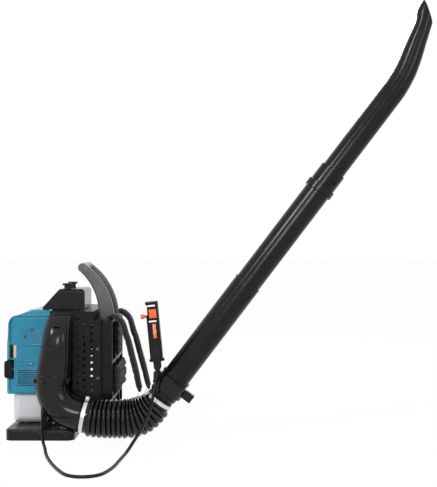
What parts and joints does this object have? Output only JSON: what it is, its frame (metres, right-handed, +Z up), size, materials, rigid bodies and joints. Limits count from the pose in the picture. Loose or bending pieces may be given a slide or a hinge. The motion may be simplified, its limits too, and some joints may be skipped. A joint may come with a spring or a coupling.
{
  "type": "backpack leaf blower",
  "caption": "Backpack leaf blower with a combustion engine, a side fan outlet, a bellows hose, telescoping air tubes and a control handle on the hose.",
  "frame": {"origin": "on the floor, under the crank's line, midway between the base plate's two sides", "axes": "+X the way the operator faces, +Y the operator's left, +Z up"},
  "size_m": [1.1937, 0.8337, 1.2109],
  "materials": {
    "bearing_steel": "ground",
    "cable_rubber": "satin sheath",
    "clamp_steel": "brushed",
    "cleaner_gloss": "high gloss",
    "control_orange": "moulded",
    "cover_blue": "glossy moulded",
    "duct_black": "satin moulded",
    "engine_alloy": "cast",
    "fan_black": "semi-gloss moulded",
    "filter_felt": "felt",
    "fitting_brass": "turned",
    "frame_black": "satin moulded",
    "grip_black": "fine texture",
    "guard_black": "satin moulded",
    "handle_grey": "satin",
    "hose_rubber": "semi-gloss",
    "muffler_steel": "heat-tinted",
    "pad_fabric": "woven nylon",
    "primer_rubber": "clear soft",
    "rope_nylon": "braided",
    "screw_steel": "zinc plated",
    "spring_steel": "drawn wire",
    "strap_fabric": "woven nylon",
    "tank_white": "milky translucent",
    "tube_black": "satin moulded",
    "webbing_fabric": "ribbed webbing"
  },
  "bodies": {
    "machine": {"base_plate": "frame_black", "anti_vibration_springs": "spring_steel", "engine_cradle": "frame_black", "fan_housing_rear": "fan_black", "fan_housing_front": "fan_black", "housing_screws": "screw_steel", "outlet_duct": "fan_black", "elbow": "duct_black", "hose_clamp_lower": "clamp_steel", "cable_gland": "frame_black", "throttle_cable_lower": "cable_rubber", "throttle_cable_upper": "cable_rubber", "engine_cover": "cover_blue", "starter_housing": "fan_black", "fuel_tank": "tank_white", "fuel_fitting": "fitting_brass", "crankcase": "engine_alloy", "crank_bearings": "bearing_steel", "cylinder": "engine_alloy", "ignition_coil": "fan_black", "spark_plug": "screw_steel", "muffler": "muffler_steel", "carburettor": "engine_alloy", "air_filter_base": "fan_black", "air_filter_element": "filter_felt", "back_frame": "frame_black", "intake_guard": "guard_black", "carry_handle": "handle_grey", "back_pads": "pad_fabric", "shoulder_strap_left": "strap_fabric", "shoulder_strap_right": "strap_fabric", "strap_webbing": "webbing_fabric"},
    "hose": {"bellows_hose": "hose_rubber"},
    "pipe": {"hose_clamp_upper": "clamp_steel", "swivel_pipe": "tube_black", "handle_bracket": "tube_black", "handle_foot": "grip_black"},
    "lower_tube": {"lower_tube": "tube_black"},
    "middle_tube": {"middle_tube": "tube_black"},
    "nozzle": {"nozzle_tube": "tube_black"},
    "handle": {"handle_shell_left": "grip_black", "handle_shell_right": "grip_black"},
    "trigger": {"throttle_trigger": "control_orange"},
    "switch": {"stop_switch": "control_orange"},
    "cruise": {"cruise_lever": "control_orange"},
    "pulley": {"starter_pulley": "fan_black"},
    "pull_grip": {"starter_grip": "grip_black", "starter_rope": "rope_nylon"},
    "crank": {"crankshaft": "bearing_steel", "flywheel": "engine_alloy", "impeller": "fan_black"},
    "piston": {"piston": "engine_alloy", "connecting_rod": "bearing_steel"},
    "fuel_cap": {"fuel_cap": "frame_black"},
    "throttle": {"throttle_lever": "screw_steel"},
    "choke": {"choke_lever": "frame_black"},
    "primer": {"primer_bulb": "primer_rubber"},
    "filter_cover": {"air_filter_cover": "cleaner_gloss"},
    "knob_left": {"filter_knob_left": "frame_black"},
    "knob_right": {"filter_knob_right": "frame_black"}
  },
  "joints": [
    {"name": "hose_sweep", "type": "hinge", "parent": "machine", "child": "hose", "pos_m": [0.14759, -0.185, 0.05917], "axis": [0, 0, 1], "range_deg": [-25, 8], "deforming": ["bellows_hose", "throttle_cable_lower"]},
    {"name": "hose_lift", "type": "hinge", "parent": "hose", "child": "pipe", "pos_m": [0.23055, -0.185, 0.05917], "axis": [0, -1, 0], "range_deg": [-35, 14], "deforming": ["bellows_hose", "throttle_cable_upper"]},
    {"name": "lower_tube_twist", "type": "hinge", "parent": "pipe", "child": "lower_tube", "pos_m": [0.30609, -0.185, 0.15869], "axis": [0.6046, 0, 0.7965], "range_deg": [-60, 60]},
    {"name": "middle_tube_lock", "type": "hinge", "parent": "lower_tube", "child": "middle_tube", "pos_m": [0.49835, -0.185, 0.41199], "axis": [0.6046, 0, 0.7965], "range_deg": [0, 40]},
    {"name": "nozzle_lock", "type": "hinge", "parent": "middle_tube", "child": "nozzle", "pos_m": [0.73294, -0.185, 0.72104], "axis": [0.6046, 0, 0.7965], "range_deg": [0, 40]},
    {"name": "handle_tilt", "type": "hinge", "parent": "pipe", "child": "handle", "pos_m": [0.26853, -0.215, 0.20707], "axis": [0, -1, 0], "range_deg": [-20, 20]},
    {"name": "trigger_pull", "type": "hinge", "parent": "handle", "child": "trigger", "pos_m": [0.26011, -0.234, 0.32581], "axis": [0.9954, 0, 0.0958], "range_deg": [0, 5], "stiffness_Nm_per_rad": 0.3, "springref_deg": -2.86},
    {"name": "stop_switch_rock", "type": "hinge", "parent": "handle", "child": "switch", "pos_m": [0.25639, -0.231, 0.35409], "axis": [0.9954, 0, 0.0958], "range_deg": [-2, 2]},
    {"name": "cruise_turn", "type": "hinge", "parent": "handle", "child": "cruise", "pos_m": [0.23521, -0.215, 0.34451], "axis": [0.9954, 0, 0.0958], "range_deg": [-90, 0]},
    {"name": "starter_pull", "type": "slide", "parent": "machine", "child": "pull_grip", "axis": [-1, 0, 0], "range_m": [0, 0.5], "stiffness_N_per_m": 8, "springref_m": -0.2},
    {"name": "pulley_turn", "type": "hinge", "parent": "machine", "child": "pulley", "pos_m": [-0.145, 0, 0.215], "axis": [1, 0, 0], "range_deg": [-988.3, 0]},
    {"name": "crank_turn", "type": "hinge", "parent": "machine", "child": "crank", "pos_m": [-0.078, 0, 0.215], "axis": [1, 0, 0], "continuous": true},
    {"name": "piston_stroke", "type": "slide", "parent": "machine", "child": "piston", "axis": [0, 0, 1], "range_m": [-0.038, 0]},
    {"name": "fuel_cap_turn", "type": "hinge", "parent": "machine", "child": "fuel_cap", "pos_m": [-0.098, 0.12, 0.084], "axis": [0, 1, 0], "range_deg": [0, 360]},
    {"name": "throttle_turn", "type": "hinge", "parent": "machine", "child": "throttle", "pos_m": [-0.06, -0.056, 0.328], "axis": [0, 1, 0], "range_deg": [0, 75]},
    {"name": "choke_turn", "type": "hinge", "parent": "machine", "child": "choke", "pos_m": [-0.046, 0.07, 0.35], "axis": [0, 1, 0], "range_deg": [0, 60]},
    {"name": "primer_press", "type": "slide", "parent": "machine", "child": "primer", "axis": [0, -1, 0], "range_m": [0, 0.004], "stiffness_N_per_m": 500},
    {"name": "filter_cover_lift", "type": "slide", "parent": "machine", "child": "filter_cover", "axis": [0, 0, 1], "range_m": [0, 0.035]},
    {"name": "knob_left_turn", "type": "hinge", "parent": "filter_cover", "child": "knob_left", "pos_m": [-0.005, 0.05, 0.42], "axis": [0, 0, 1], "range_deg": [0, 720]},
    {"name": "knob_right_turn", "type": "hinge", "parent": "filter_cover", "child": "knob_right", "pos_m": [-0.005, -0.05, 0.42], "axis": [0, 0, 1], "range_deg": [0, 720]}
  ],
  "couplings": [
    {"joint": "pulley_turn", "follows": "starter_pull", "rad_per_m": -34.483},
    {"joint": "throttle_turn", "follows": "trigger_pull", "ratio": 14.5}
  ]
}
